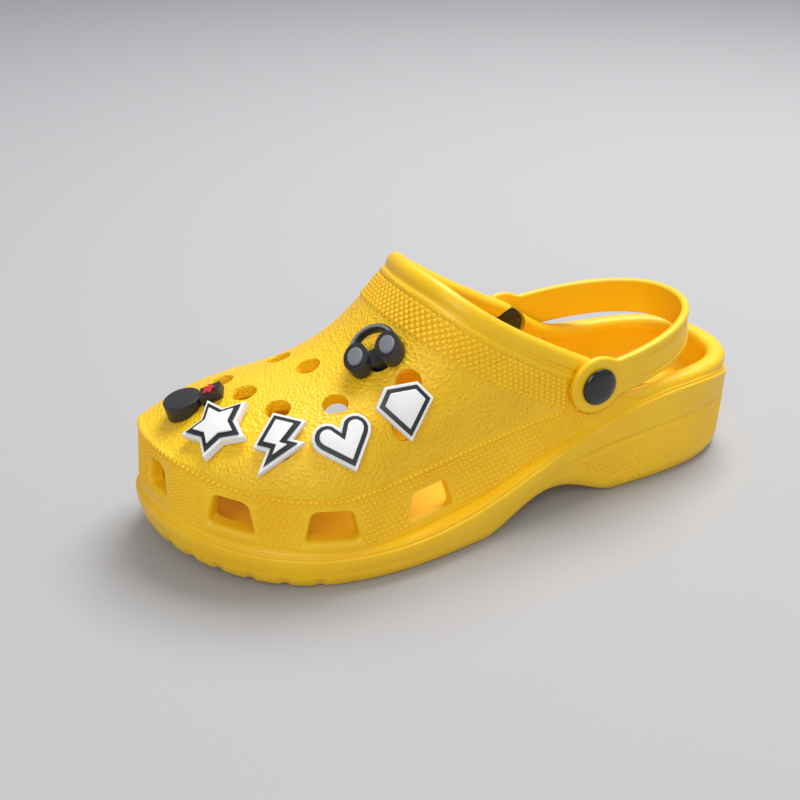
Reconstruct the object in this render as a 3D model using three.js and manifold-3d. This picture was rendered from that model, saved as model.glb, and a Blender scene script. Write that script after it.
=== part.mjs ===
// A rubber garden clog for the left foot: a one-piece foam moulding, a heel strap that swings on
// two snap rivets, and six plug-in charms on the vamp.
//
// Millimetres. +X runs to the toe, +Y to the outer side of the foot, +Z up. The origin is on the
// ground, under the middle of the clog.

import * as THREE from 'three';
import { mergeVertices } from 'three/addons/utils/BufferGeometryUtils.js';
import Module from 'manifold-3d';

const wasm = await Module();
wasm.setup();

// ---------------------------------------------------------------- driving dimensions

// The widest line of the clog in plan: control points of a closed cubic B-spline, from the heel
// along the inner side to the toe and back along the outer side.
const OUTLINE = [
  [-142.8, -0.8], [-135.8, -30.8], [-99.8, -43.3], [-47.8, -39.8], [0.2, -43.3], [50.2, -54.8],
  [96.2, -57.8], [134.2, -45.8], [144.2, -13.8], [131.2, 25.2], [93.2, 53.2], [48.2, 58.2],
  [0.2, 48.7], [-47.8, 39.7], [-99.8, 41.2], [-135.8, 27.2],
];
const OUTLINE_STEPS = 80;

// Heights and insets along the clog, as cubic B-spline values every 40 mm from x = -160.
const STATION_START = -160;
const STATION_STEP = 40;
const LEDGE_Z = [31.7, 46.6, 46.7, 36.3, 21.8, 15.3, 15, 18.6, 30]; // top of the rand
const WALL_TOP_Z = [54, 51, 50, 48, 45.7, 41.2, 38.2, 42.7, 60.7]; // where the wall meets the vamp
const WALL_INSET = [2.5, 2.5, 3.8, 0.8, 3.6, 4.4, 4.2, 4.2, 4.2]; // wall top, in from the outline
const CREST_Z = [100, 100, 100, 112, 150, 82, 67.5, 67, 21]; // middle line of the vamp
const FOOTBED_Z = [29, 28, 27, 25, 21, 17.5, 16.5, 18, 28];
const WALL_THICKNESS = [7, 7, 7, 7.2, 6.4, 4.6, 4.6, 4.6, 4.6];

const TOE_PIVOT_X = 85; // the vamp's sections fan out round this point at the toe
const VAMP_FULLNESS = 2 / 2.2; // superellipse exponent of the vamp's cross-section
const SPRING = { from: 80, run: 60, rise: 8 }; // upturn of the toe
const ARCH = { from: -61, to: 11, rise: 11.5 }; // hollow between the heel block and the ball
const SOLE_EDGE_INSET = 6;
const VAMP_THICKNESS = 5;
const SIDE_WALL = 4; // wall kept where the sides are held flat for the strap

// Side view of the foot opening's rim, from the instep down to the heel.
const RIM = [
  [24, 112], [14, 103.5], [-1, 93], [-12, 86], [-24, 79], [-36, 72.5], [-46, 67.5], [-56, 59],
  [-64, 53.4], [-71, 50.6], [-80, 49.5], [-95, 49], [-160, 49],
];
// Side view of the line between the sole unit and the upper.
const MOULD_LINE_BACK = [[-60, 43.5], [-66, 47], [-71, 60]];
const JOINT_GAP = 0.3;

// Vents through the side wall: middle of the bottom edge and the widths at the bottom and top.
const VENT = { height: 12.4, depth: 30, corner: 3.6 };
const VENTS = [
  { x: 139, y: -1.8, bottom: 31.9, width: 13.4, top: 11 },
  { x: 119, y: 32, bottom: 26.3, width: 19.2, top: 16 },
  { x: 82.6, y: 52, bottom: 21.6, width: 21.4, top: 18 },
  { x: 37.8, y: 55, bottom: 21.3, width: 22.4, top: 18.6 },
  { x: 124, y: -41, bottom: 26.6, width: 19.2, top: 16 },
  { x: 86, y: -57, bottom: 21.6, width: 21.4, top: 18 },
  { x: 42, y: -55, bottom: 21.3, width: 22.4, top: 18.6 },
];

// Round holes through the vamp, middle in plan. The first six hold the charms.
const HOLE_RADIUS = 4.9;
const HOLES = [
  [112.7, 11.7], [96.2, 32.8], [73.2, 42.2], [47.8, 42.6], [48.1, 20.4], [116.7, -12.9],
  [97.3, -2.1], [90.3, 16.6], [69.4, -2.3], [70, 26.2], [42, 34], [74, -23], [100.7, -20.5],
  [88, -41], [58, -39], [40, -34],
];

const RIVET_X = -45;
const RIVET_Z = 57.5;
const WALL_FACE_Y = 38; // flat seat of the strap's eye on the wall
const STRAP_FLAT = { y: 37.6, slopeBelow: 0.15, fromX: -66, toX: -16, slopeAlong: 0.12, z: 50 };
const STRAP_RELIEF = { y: 36, fromX: -80, toX: -48, z: 49.5 }; // wall cut back under the strap
const INNER_SEAT_Y = 33.8; // flat seat of the rivet's inner half
const RIVET = { headRadius: 8.3, headRise: 2.4, tubeRadius: 4, bore: 2.7, pin: 2.4, discRadius: 7.8 };
const SHAFT_HOLE = 4.3;

const STRAP = {
  halfWidth: 41.4, reach: 71.5, fullness: 2 / 2.15, height: 17.4, thickness: 3.1,
  eyeRadius: 13, tilt: THREE.MathUtils.degToRad(7.3),
};

const YELLOW = 0xf5b800;
const WHITE = 0xeeeeea;
const BLACK = 0x1b1b1d;
const GREY = 0x6c6f74;

// ---------------------------------------------------------------- general helpers

const mix = (a, b, t) => a + (b - a) * t;

// Weights of the four neighbouring control values of a uniform cubic B-spline.
function splineWeights(f) {
  return [(1 - f) ** 3, 3 * f ** 3 - 6 * f ** 2 + 4, -3 * f ** 3 + 3 * f ** 2 + 3 * f + 1, f ** 3]
    .map((w) => w / 6);
}

// Value at x of a table with one B-spline value per station.
function along(x, table) {
  const t = (x - STATION_START) / STATION_STEP;
  const i = Math.floor(t);
  return splineWeights(t - i).reduce((sum, w, k) =>
    sum + w * table[THREE.MathUtils.clamp(i + k - 1, 0, table.length - 1)], 0);
}

// Points round the outline with their outward directions.
function outlinePoints(steps) {
  const count = OUTLINE.length;
  const points = [];
  for (let s = 0; s < steps; s += 1) {
    const t = (s / steps) * count;
    const i = Math.floor(t);
    const point = new THREE.Vector2();
    splineWeights(t - i).forEach((w, k) => {
      const [x, y] = OUTLINE[(i + k - 1 + count) % count];
      point.x += w * x;
      point.y += w * y;
    });
    points.push(point);
  }
  return points.map((point, s) => {
    const tangent = points[(s + 1) % steps].clone().sub(points[(s - 1 + steps) % steps]).normalize();
    return { x: point.x, y: point.y, out: new THREE.Vector2(tangent.y, -tangent.x) };
  });
}

const outline = outlinePoints(OUTLINE_STEPS);

// Outline point moved inward by an inset, at a height.
function insetPoint(point, inset, z) {
  return new THREE.Vector3(point.x - point.out.x * inset, point.y - point.out.y * inset, z);
}

// A ring of points, one for each outline point.
function ring(insetAt, heightAt) {
  return outline.map((point) => insetPoint(point, insetAt(point.x), heightAt(point.x)));
}

// The point on the clog's middle line that a section through this point starts from.
const spineX = (x) => Math.min(x, TOE_PIVOT_X);

// A ring drawn in from an edge ring towards the middle line, with its height from the middle.
function towardsSpine(edge, share, heightAt) {
  return edge.map((p) => {
    const x = mix(spineX(p.x), p.x, share);
    return new THREE.Vector3(x, p.y * share, heightAt(x, p));
  });
}

// Triangles that lace the two sides of a ring together across the middle line.
function laceFaces(size) {
  const faces = [];
  for (let s = 0; s < size / 2; s += 1) {
    const across = (size - s) % size;
    if (s > 0) faces.push([s, s + 1, across]);
    if (s + 1 < size / 2) faces.push([s + 1, size - s - 1, across]);
  }
  return faces;
}

// A closed solid through rings of equal length, from the bottom ring to the top ring.
function skin(rings) {
  const size = rings[0].length;
  const positions = rings.flat().flatMap((p) => [p.x, p.y, p.z]);
  const faces = [];
  for (let r = 0; r + 1 < rings.length; r += 1) {
    for (let s = 0; s < size; s += 1) {
      const a = r * size + s;
      const b = r * size + ((s + 1) % size);
      faces.push(a, b, b + size, a, b + size, a + size);
    }
  }
  const top = (rings.length - 1) * size;
  for (const [a, b, c] of laceFaces(size)) {
    faces.push(a, c, b, top + a, top + b, top + c);
  }
  const geometry = new THREE.BufferGeometry();
  geometry.setAttribute('position', new THREE.Float32BufferAttribute(positions, 3));
  geometry.setIndex(faces);
  return geometry;
}

// A three.js geometry as a solid that can be joined and cut.
function solid(geometry) {
  const bare = geometry.clone();
  bare.deleteAttribute('normal');
  bare.deleteAttribute('uv');
  const merged = mergeVertices(bare, 1e-4);
  return new wasm.Manifold(new wasm.Mesh({
    numProp: 3,
    vertProperties: new Float32Array(merged.attributes.position.array),
    triVerts: new Uint32Array(merged.index.array),
  }));
}

// A solid back as a three.js geometry.
function geometryOf(body) {
  const { vertProperties, triVerts } = body.getMesh();
  const geometry = new THREE.BufferGeometry();
  geometry.setAttribute('position', new THREE.BufferAttribute(new Float32Array(vertProperties), 3));
  geometry.setIndex(new THREE.BufferAttribute(new Uint32Array(triVerts), 1));
  geometry.computeVertexNormals();
  return geometry;
}

const subtractAll = (body, cutters) => cutters.reduce((left, cutter) => left.subtract(cutter), body);

function named(name, geometry, color, roughness) {
  const mesh = new THREE.Mesh(
    geometry, new THREE.MeshStandardMaterial({ color, roughness, metalness: 0 }));
  mesh.name = name;
  return mesh;
}

// A prism of a side-view (x, z) outline, as wide as the whole clog and more.
function sidePrism(points) {
  const shape = new THREE.Shape(points.map(([x, z]) => new THREE.Vector2(x, z)));
  return new THREE.ExtrudeGeometry(shape, { depth: 200, bevelEnabled: false, curveSegments: 1 })
    .rotateX(Math.PI / 2).translate(0, 100, 0);
}

// A round rod along Y between two faces.
function rodAlongY(radius, fromY, toY, segments = 32) {
  return new THREE.CylinderGeometry(radius, radius, Math.abs(toY - fromY), segments)
    .translate(RIVET_X, (fromY + toY) / 2, RIVET_Z);
}

// ---------------------------------------------------------------- the clog's body

function groundZ(x) {
  const spring = x > SPRING.from ? SPRING.rise * ((x - SPRING.from) / SPRING.run) ** 2 : 0;
  const share = (x - ARCH.from) / (ARCH.to - ARCH.from);
  const arch = share > 0 && share < 1 ? ARCH.rise * Math.sin(Math.PI * share) ** 1.5 : 0;
  return spring + arch;
}

const ledgeZ = (x) => along(x, LEDGE_Z);
const wallTopZ = (x) => along(x, WALL_TOP_Z);
const wallInset = (x) => along(x, WALL_INSET);
const crestZ = (x) => along(x, CREST_Z);
const footbedZ = (x) => along(x, FOOTBED_Z);

// Rings over the vamp, from the wall's top edge to the crest.
function dome(edge, crestAt) {
  const angles = [78, 66, 55, 45, 36, 27, 18, 9];
  return angles.map((degrees) => {
    const angle = THREE.MathUtils.degToRad(degrees);
    const rise = Math.cos(angle) ** VAMP_FULLNESS;
    return towardsSpine(edge, Math.sin(angle) ** VAMP_FULLNESS,
      (x, p) => mix(p.z, crestAt(x), rise));
  });
}

// Beside the rivets the wall is flat, so that the strap can swing past it. The foot space is held
// in by the wall's thickness as well, or it would break through.
function flattened(points, inset = 0) {
  const { y, slopeBelow, fromX, toX, slopeAlong, z } = STRAP_FLAT;
  return points.map((p) => {
    const limit = y - inset + slopeBelow * Math.max(0, z - p.z)
      + slopeAlong * Math.max(0, p.x - toX, fromX - p.x);
    return new THREE.Vector3(p.x, THREE.MathUtils.clamp(p.y, -limit, limit), p.z);
  });
}

// The clog's outside with nothing hollowed out.
function outerForm() {
  const soleEdge = ring(() => SOLE_EDGE_INSET, groundZ);
  const wallTop = ring(wallInset, wallTopZ);
  return skin([
    towardsSpine(soleEdge, 0.12, groundZ),
    towardsSpine(soleEdge, 0.6, groundZ),
    soleEdge,
    ring(() => 2.6, (x) => groundZ(x) + 2.4),
    ring(() => 0.9, (x) => groundZ(x) + 7.5),
    ring(() => 0, (x) => ledgeZ(x) - 4),
    ring(() => 0.5, (x) => ledgeZ(x) - 0.6),
    ring((x) => Math.min(2.2, wallInset(x)), (x) => ledgeZ(x) + 0.6),
    ring((x) => mix(2.2, wallInset(x), 0.5), (x) => mix(ledgeZ(x), wallTopZ(x), 0.5)),
    flattened(wallTop),
    ...dome(wallTop, crestZ).map((points) => flattened(points)),
  ]);
}

// The space for the foot, from the footbed up to the inside of the vamp.
function footSpace() {
  const inner = (x) => Math.max(wallInset(x), 2.2) + along(x, WALL_THICKNESS);
  const floorEdge = ring((x) => inner(x) + 4, footbedZ);
  const innerTop = ring(inner, (x) => Math.max(wallTopZ(x) - 2, footbedZ(x) + 9));
  const held = (points) => flattened(points, SIDE_WALL);
  return skin([
    towardsSpine(floorEdge, 0.12, footbedZ),
    floorEdge,
    ring((x) => inner(x) + 1.2, (x) => footbedZ(x) + 2.4),
    held(ring(inner, (x) => footbedZ(x) + 8)),
    held(innerTop),
    ...dome(innerTop, (x) => crestZ(x + 3) - VAMP_THICKNESS).map(held),
  ]);
}

// Everything above the rim line, so that the foot can go in.
function openingCutter() {
  return sidePrism([...RIM, [-160, 260], [30, 260], [30, 119]]);
}

// A vent's cutter: a round-cornered trapezoid that leans with the ledge below it, driven through
// the wall square to the outline.
function ventCutter({ x, y, bottom, width, top }) {
  const nearest = outline.reduce((best, p) =>
    (Math.hypot(p.x - x, p.y - y) < Math.hypot(best.x - x, best.y - y) ? p : best));
  const { height, depth, corner } = VENT;
  const half = width / 2;
  const topHalf = top / 2;
  const shape = new THREE.Shape();
  shape.moveTo(-half + 1, 0);
  shape.lineTo(half - 1, 0);
  shape.quadraticCurveTo(half, 0, half, 1);
  shape.lineTo(topHalf + 0.6, height - corner);
  shape.quadraticCurveTo(topHalf, height, topHalf - corner, height);
  shape.lineTo(-topHalf + corner, height);
  shape.quadraticCurveTo(-topHalf, height, -topHalf - 0.6, height - corner);
  shape.lineTo(-half, 1);
  shape.quadraticCurveTo(-half, 0, -half + 1, 0);
  const ahead = nearest.out.y * half; // how far the shape's right end is towards the toe
  const lean = (ledgeZ(x + ahead) - ledgeZ(x - ahead)) / width;
  return new THREE.ExtrudeGeometry(shape, { depth, bevelEnabled: false, curveSegments: 3 })
    .applyMatrix4(new THREE.Matrix4().makeShear(lean, 0, 0, 0, 0, 0))
    .rotateX(Math.PI / 2)
    .rotateZ(Math.atan2(nearest.out.y, nearest.out.x) - Math.PI / 2)
    .translate(nearest.out.x * (depth / 2), nearest.out.y * (depth / 2), 0)
    .translate(x, y, bottom);
}

// The clog's outside and the space for the foot, to measure on.
const formProbe = new THREE.Mesh(outerForm(), new THREE.MeshBasicMaterial());
const spaceProbe = new THREE.Mesh(footSpace(), new THREE.MeshBasicMaterial());

// Where a line met from outside, along a direction, first reaches a surface.
function firstHit(probe, start, direction) {
  return new THREE.Raycaster(start, direction).intersectObject(probe)[0];
}

// Direction out of the vamp at a point, from four points round it that are met along a guess.
function outOfVamp(point, guess, reach) {
  const frame = new THREE.Quaternion().setFromUnitVectors(new THREE.Vector3(0, 0, 1), guess);
  const met = (x, y) => {
    const start = new THREE.Vector3(x, y, 60).applyQuaternion(frame).add(point);
    return firstHit(formProbe, start, guess.clone().negate()).point;
  };
  return met(reach, 0).sub(met(-reach, 0)).cross(met(0, reach).sub(met(0, -reach))).normalize();
}

// Place on the vamp over (x, y): the point on its outside and the direction out of it.
function vampPlace([x, y]) {
  const down = new THREE.Vector3(0, 0, -1);
  const { point } = firstHit(formProbe, new THREE.Vector3(x, y, 400), down);
  const steep = outOfVamp(point, down.negate(), 1.5);
  return { point, out: outOfVamp(point, outOfVamp(point, steep, 6), 6) };
}

// How far a surface lies above (+) a place's tangent plane, at points round its axis.
function levels(place, radius, probe) {
  const frame = new THREE.Quaternion().setFromUnitVectors(new THREE.Vector3(0, 0, 1), place.out);
  const found = [];
  for (let k = 0; k < 16; k += 1) {
    const angle = (k / 16) * 2 * Math.PI;
    const start = new THREE.Vector3(radius * Math.cos(angle), radius * Math.sin(angle), 30)
      .applyQuaternion(frame).add(place.point);
    const hit = new THREE.Raycaster(start, place.out.clone().negate()).intersectObject(probe)[0];
    if (hit) found.push(30 - hit.distance);
  }
  return found;
}

function holeCutter(centre) {
  const { point, out } = vampPlace(centre);
  return new THREE.CylinderGeometry(HOLE_RADIUS, HOLE_RADIUS, 24, 20)
    .applyQuaternion(new THREE.Quaternion().setFromUnitVectors(new THREE.Vector3(0, 1, 0), out))
    .translate(point.x, point.y, point.z);
}

// Flat seats, a shaft hole and room for the strap; side is +1 outside the foot, -1 inside.
function rivetCutters(side) {
  const { y, fromX, toX, z } = STRAP_RELIEF;
  return [
    new THREE.BoxGeometry(toX - fromX, 20, 40)
      .translate((fromX + toX) / 2, side * (y + 10), z + 20),
    rodAlongY(STRAP.eyeRadius + 1, side * WALL_FACE_Y, side * (WALL_FACE_Y + 12)),
    rodAlongY(RIVET.discRadius + 0.8, side * INNER_SEAT_Y, side * (INNER_SEAT_Y - 9)),
    rodAlongY(SHAFT_HOLE, side * 20, side * 60),
  ];
}

// Everything above the mould line between sole unit and upper, raised or lowered by a shift.
function aboveMouldLine(shift) {
  const front = [];
  for (let x = 150; x > MOULD_LINE_BACK[0][0] + 5; x -= 10) front.push([x, ledgeZ(x) + shift]);
  const back = MOULD_LINE_BACK.map(([x, z]) => [x + shift, z + shift]);
  return sidePrism([...front, ...back, [-71, 260], [150, 260]].reverse());
}

function clogBody() {
  const form = solid(outerForm());
  const hollow = subtractAll(form, [
    solid(footSpace()),
    solid(openingCutter()),
    ...VENTS.map((vent) => solid(ventCutter(vent))),
    ...HOLES.map((hole) => solid(holeCutter(hole))),
    ...[1, -1].flatMap((side) => rivetCutters(side).map(solid)),
  ]);
  const above = solid(aboveMouldLine(JOINT_GAP / 2));
  const sole = hollow.subtract(solid(aboveMouldLine(-JOINT_GAP / 2)));
  return [
    named('sole_unit', geometryOf(sole), YELLOW, 0.5),
    named('upper_shell', geometryOf(hollow.intersect(above)), YELLOW, 0.5),
  ];
}

// ---------------------------------------------------------------- heel strap

// Half of the strap's plan curve: a superellipse from the outer rivet round to the inner one.
function strapCurve(inset) {
  const steps = 36;
  const points = [];
  for (let k = 0; k <= steps; k += 1) {
    const angle = mix(-Math.PI / 2, Math.PI / 2, k / steps);
    const back = (STRAP.reach - inset) * Math.cos(angle) ** STRAP.fullness;
    const across = Math.sign(angle) * Math.abs(Math.sin(angle)) ** STRAP.fullness;
    points.push(new THREE.Vector2(RIVET_X - back, (STRAP.halfWidth - inset) * across));
  }
  return points;
}

function strapSolid() {
  const outer = strapCurve(0);
  const inner = strapCurve(STRAP.thickness).reverse();
  const band = new THREE.ExtrudeGeometry(new THREE.Shape([...outer, ...inner]),
    { depth: STRAP.height, bevelEnabled: false, curveSegments: 1 })
    .translate(0, 0, RIVET_Z - STRAP.height / 2);
  const eyes = [1, -1].map((side) => solid(rodAlongY(
    STRAP.eyeRadius, side * (STRAP.halfWidth - STRAP.thickness), side * STRAP.halfWidth, 40)));
  const holes = [1, -1].map((side) => solid(rodAlongY(SHAFT_HOLE, side * 30, side * 50, 24)));
  const joined = eyes.reduce((body, eye) => body.add(eye), solid(band));
  return geometryOf(subtractAll(joined, holes));
}

function heelStrap() {
  const mesh = named('heel_strap', strapSolid().translate(-RIVET_X, 0, -RIVET_Z), YELLOW, 0.45);
  mesh.position.set(RIVET_X, 0, RIVET_Z);
  mesh.rotation.y = STRAP.tilt;
  return mesh;
}

// ---------------------------------------------------------------- rivets

// A turned piece with its axis along +Y, from (radius, height) points.
function turned(profile, segments = 28) {
  return new THREE.LatheGeometry(profile.map(([r, y]) => new THREE.Vector2(r, y)), segments);
}

// The half with the domed head outside the strap and the pin that snaps into the tube.
function rivetHead() {
  const seat = STRAP.halfWidth + JOINT_GAP;
  const { headRadius, headRise, pin } = RIVET;
  return turned([
    [0, INNER_SEAT_Y + 1.5], [pin - 0.5, INNER_SEAT_Y + 1.5], [pin, INNER_SEAT_Y + 2.2], [pin, seat],
    [headRadius - 0.4, seat], [headRadius, seat + 0.5], [headRadius - 0.5, seat + 1.3],
    [headRadius * 0.72, seat + 2], [headRadius * 0.4, seat + headRise], [0, seat + headRise + 0.1],
  ]);
}

// The half inside the clog: a disc with the tube that runs out through wall and strap.
function rivetSocket() {
  const face = INNER_SEAT_Y - JOINT_GAP;
  const { tubeRadius, bore, discRadius } = RIVET;
  return turned([
    [0, face - 2], [discRadius - 1, face - 2], [discRadius, face - 1.2], [discRadius, face],
    [tubeRadius, face], [tubeRadius, STRAP.halfWidth - 0.1], [bore, STRAP.halfWidth - 0.1],
    [bore, INNER_SEAT_Y + 1], [0, INNER_SEAT_Y + 1],
  ]);
}

function rivets() {
  return [['outer_side', 0], ['inner_side', Math.PI]].flatMap(([side, turn]) => {
    const parts = [
      named(`rivet_head_${side}`, rivetHead(), BLACK, 0.2),
      named(`rivet_socket_${side}`, rivetSocket(), BLACK, 0.35),
    ];
    parts.forEach((mesh) => {
      mesh.position.set(RIVET_X, 0, RIVET_Z);
      mesh.rotation.z = turn;
    });
    return parts;
  });
}

// ---------------------------------------------------------------- charms

const CHARM = { plate: 3.6, inlay: 0.7, face: 0.9, inlayStep: 1.2, faceStep: 2.9 };
const STEM = { neck: 4.4, flange: 6.4, flangeThickness: 1.8 };
const LAYER_GAP = 0.05;

// Corners of the four flat badges, before scaling to their sizes.
function starCorners() {
  return Array.from({ length: 10 }, (_, k) => {
    const radius = k % 2 ? 0.56 : 1;
    const angle = Math.PI / 2 + (k * Math.PI) / 5;
    return [radius * Math.cos(angle), radius * Math.sin(angle)];
  });
}

function heartCorners() {
  const lobe = Array.from({ length: 8 }, (_, k) => {
    const angle = THREE.MathUtils.degToRad(-38 + k * 24);
    return [0.5 + 0.54 * Math.cos(angle), 0.38 + 0.54 * Math.sin(angle)];
  });
  return [[0, -1], ...lobe, [0, 0.56], ...lobe.map(([x, y]) => [-x, y]).reverse()];
}

const BOLT_CORNERS = [[-0.35, -1.1], [0.76, 0.3], [0.34, 0.3], [0.6, 1], [-0.5, 1],
  [-0.76, -0.26], [-0.3, -0.26]];
const GEM_CORNERS = [[0, -1], [1, 0.3], [0.56, 0.94], [-0.56, 0.94], [-1, 0.3]];

const CHARMS = [
  { name: 'star', hole: 0, heading: -170, corners: starCorners(), size: 15 },
  { name: 'bolt', hole: 1, heading: -130, corners: BOLT_CORNERS, size: 12.4 },
  { name: 'heart', hole: 2, heading: -96, corners: heartCorners(), size: 11.4 },
  { name: 'gem', hole: 3, heading: -103, corners: GEM_CORNERS, size: 11.6 },
];

// A polygon moved inward by a distance, with mitred corners.
function shrink(corners, distance) {
  const points = corners.map(([x, y]) => new THREE.Vector2(x, y));
  return points.map((point, k) => {
    const before = point.clone().sub(points.at(k - 1)).normalize();
    const after = points[(k + 1) % points.length].clone().sub(point).normalize();
    const inward = new THREE.Vector2(-before.y - after.y, before.x + after.x).normalize();
    const reach = distance / Math.max(0.25, -inward.x * after.y + inward.y * after.x);
    return [point.x + inward.x * reach, point.y + inward.y * reach];
  });
}

function plate(corners, fromZ, thickness) {
  const shape = new THREE.Shape(corners.map(([x, y]) => new THREE.Vector2(x, y)));
  return new THREE.ExtrudeGeometry(shape, { depth: thickness, bevelEnabled: false })
    .translate(0, 0, fromZ);
}

// The stem under a charm: a neck through the vamp and a flange that holds it from inside.
function stem(lift, under) {
  const { neck, flange, flangeThickness } = STEM;
  const top = lift + 0.5;
  const bottom = under - flangeThickness;
  return new THREE.LatheGeometry([
    [0, bottom], [flange - 1, bottom], [flange, under - 0.9], [flange, under], [neck, under],
    [neck, top], [0, top],
  ].map(([r, y]) => new THREE.Vector2(r, y)), 20).rotateX(Math.PI / 2);
}

// Group standing on the vamp at a hole: its +Z points out of the vamp, its +Y along the heading.
function seat({ hole, heading, footprint }) {
  const place = vampPlace(HOLES[hole]);
  const angle = THREE.MathUtils.degToRad(heading);
  const up = new THREE.Vector3(Math.cos(angle), Math.sin(angle), 0).projectOnPlane(place.out)
    .normalize();
  const group = new THREE.Group();
  const across = up.clone().cross(place.out);
  group.setRotationFromMatrix(new THREE.Matrix4().makeBasis(across, up, place.out));
  group.position.copy(place.point);
  const lift = Math.max(...[1, 0.8, 0.6, 0.4].map((share) => share * footprint).flatMap((radius) =>
    levels(place, radius, formProbe))) + JOINT_GAP;
  const under = Math.min(...levels(place, STEM.flange, spaceProbe)) - JOINT_GAP;
  return { group, lift, under };
}

// A flat badge: white plate with its stem, black inlay, and a raised white face.
function badge(charm) {
  const corners = charm.corners.map(([x, y]) => [x * charm.size, y * charm.size]);
  const { group, lift, under } = seat({ ...charm, footprint: 1.1 * charm.size });
  const { inlayStep, faceStep } = CHARM;
  const plateTop = lift + CHARM.plate;
  const inlayTop = plateTop + CHARM.inlay;
  const base = solid(plate(corners, lift, CHARM.plate)).add(solid(stem(lift, under)));
  group.add(
    named(`${charm.name}_charm_base`, geometryOf(base), WHITE, 0.5),
    named(`${charm.name}_charm_inlay`,
      plate(shrink(corners, inlayStep), plateTop + LAYER_GAP, CHARM.inlay - LAYER_GAP), BLACK, 0.5),
    named(`${charm.name}_charm_face`,
      plate(shrink(corners, faceStep), inlayTop + LAYER_GAP, CHARM.face), WHITE, 0.5),
  );
  return group;
}

// A flat arch: a half ring with straight legs down to the ear cups.
function archShape(outerRadius, width, legs) {
  const innerRadius = outerRadius - width;
  const shape = new THREE.Shape();
  shape.moveTo(outerRadius, -legs);
  shape.absarc(0, 0, outerRadius, 0, Math.PI, false);
  shape.lineTo(-outerRadius, -legs);
  shape.lineTo(-innerRadius, -legs);
  shape.absarc(0, 0, innerRadius, Math.PI, 0, true);
  shape.lineTo(innerRadius, -legs);
  shape.closePath();
  return shape;
}

// Small headphones: band, two cups and a bridge plate on one stem, with grey pads and yoke.
function headphoneCharm() {
  const cup = { x: 6.9, y: -1, radius: 6.1, thickness: 6 };
  const band = { y: 3, radius: 10.2, width: 2.6, legs: 4, z: 1.4, thickness: 2.8 };
  const { group, lift, under } = seat({ hole: 4, heading: -122, footprint: 13 });
  const cupShape = (side, grow) =>
    new THREE.CylinderGeometry(cup.radius + grow, cup.radius + grow, cup.thickness, 28)
      .rotateX(Math.PI / 2).scale(0.86, 1.12, 1)
      .translate(side * cup.x, cup.y, lift + cup.thickness / 2);
  const cups = [1, -1].map((side) => cupShape(side, 0));
  const arch = new THREE.ExtrudeGeometry(archShape(band.radius, band.width, band.legs),
    { depth: band.thickness, bevelEnabled: false, curveSegments: 14 })
    .translate(0, band.y, lift + band.z);
  const bridge = new THREE.BoxGeometry(8, 7, 2.4).translate(0, cup.y, lift + 1.2);
  const body = [...cups, arch, bridge]
    .reduce((left, piece) => left.add(solid(piece)), solid(stem(lift, under)));
  group.add(named('headphone_charm_body', geometryOf(body), BLACK, 0.55));
  for (const [side, name] of [[1, 'left'], [-1, 'right']]) {
    const pad = new THREE.CylinderGeometry(3.6, 4, 0.9, 24)
      .rotateX(Math.PI / 2).scale(0.86, 1.12, 1)
      .translate(side * cup.x, cup.y, lift + cup.thickness + LAYER_GAP + 0.45);
    group.add(named(`headphone_charm_pad_${name}`, pad, GREY, 0.5));
  }
  const trim = solid(new THREE.ExtrudeGeometry(archShape(band.radius - 0.7, 1.2, 0),
    { depth: 0.7, bevelEnabled: false, curveSegments: 14 })
    .translate(0, band.y, lift + band.z + band.thickness + LAYER_GAP));
  const yoke = subtractAll(trim, [1, -1].map((side) => solid(cupShape(side, LAYER_GAP))));
  group.add(named('headphone_charm_yoke', geometryOf(yoke), GREY, 0.4));
  return group;
}

// A round puck that leans back towards upright, with a tab at its side and a flower on the tab.
function puckCharm() {
  const puck = { radius: 7.8, height: 5.2, x: -2.2, leanShare: 0.5 };
  const tab = { x: 11, y: 0.5, width: 9, depth: 7, thickness: 3.8 };
  const { group, lift, under } = seat({ hole: 5, heading: -120, footprint: 13.5 });
  const upright = new THREE.Vector3(0, 0, 1).applyQuaternion(group.quaternion.clone().invert());
  const lean = new THREE.Quaternion().slerp(
    new THREE.Quaternion().setFromUnitVectors(new THREE.Vector3(0, 0, 1), upright), puck.leanShare);
  const drum = (radius, height) => solid(new THREE.CylinderGeometry(radius, radius, height, 40)
    .rotateX(Math.PI / 2).translate(0, 0, puck.height - height / 2).applyQuaternion(lean)
    .translate(puck.x, 0, lift));
  const below = solid(new THREE.BoxGeometry(60, 60, 20).translate(0, 0, lift - 10));
  const round = drum(puck.radius, 2 * puck.height).subtract(below);
  group.add(named('puck_charm_body', geometryOf(round.add(solid(stem(lift, under)))), BLACK, 0.5));
  const block = solid(new THREE.BoxGeometry(tab.width, tab.depth, tab.thickness)
    .translate(tab.x, tab.y, lift + tab.thickness / 2));
  const clearance = drum(puck.radius + 0.15, 40);
  group.add(named('puck_charm_tab', geometryOf(block.subtract(clearance)), BLACK, 0.5));
  const petals = Array.from({ length: 40 }, (_, k) => {
    const angle = (k / 40) * 2 * Math.PI;
    const radius = 2.3 + 0.6 * Math.cos(5 * angle);
    return [radius * Math.cos(angle), radius * Math.sin(angle)];
  });
  const flower = plate(petals, 0, 1).translate(tab.x, tab.y, lift + tab.thickness + LAYER_GAP);
  group.add(named('puck_charm_flower', flower, 0xc8262b, 0.5));
  return group;
}

// ---------------------------------------------------------------- the whole clog

const clog = new THREE.Group();
clog.add(...clogBody(), heelStrap(), ...rivets());
clog.add(...CHARMS.map(badge), headphoneCharm(), puckCharm());
clog.updateMatrixWorld(true);

export default clog;
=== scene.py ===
import bpy
import numpy as np
from mathutils import Matrix, Vector


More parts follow.
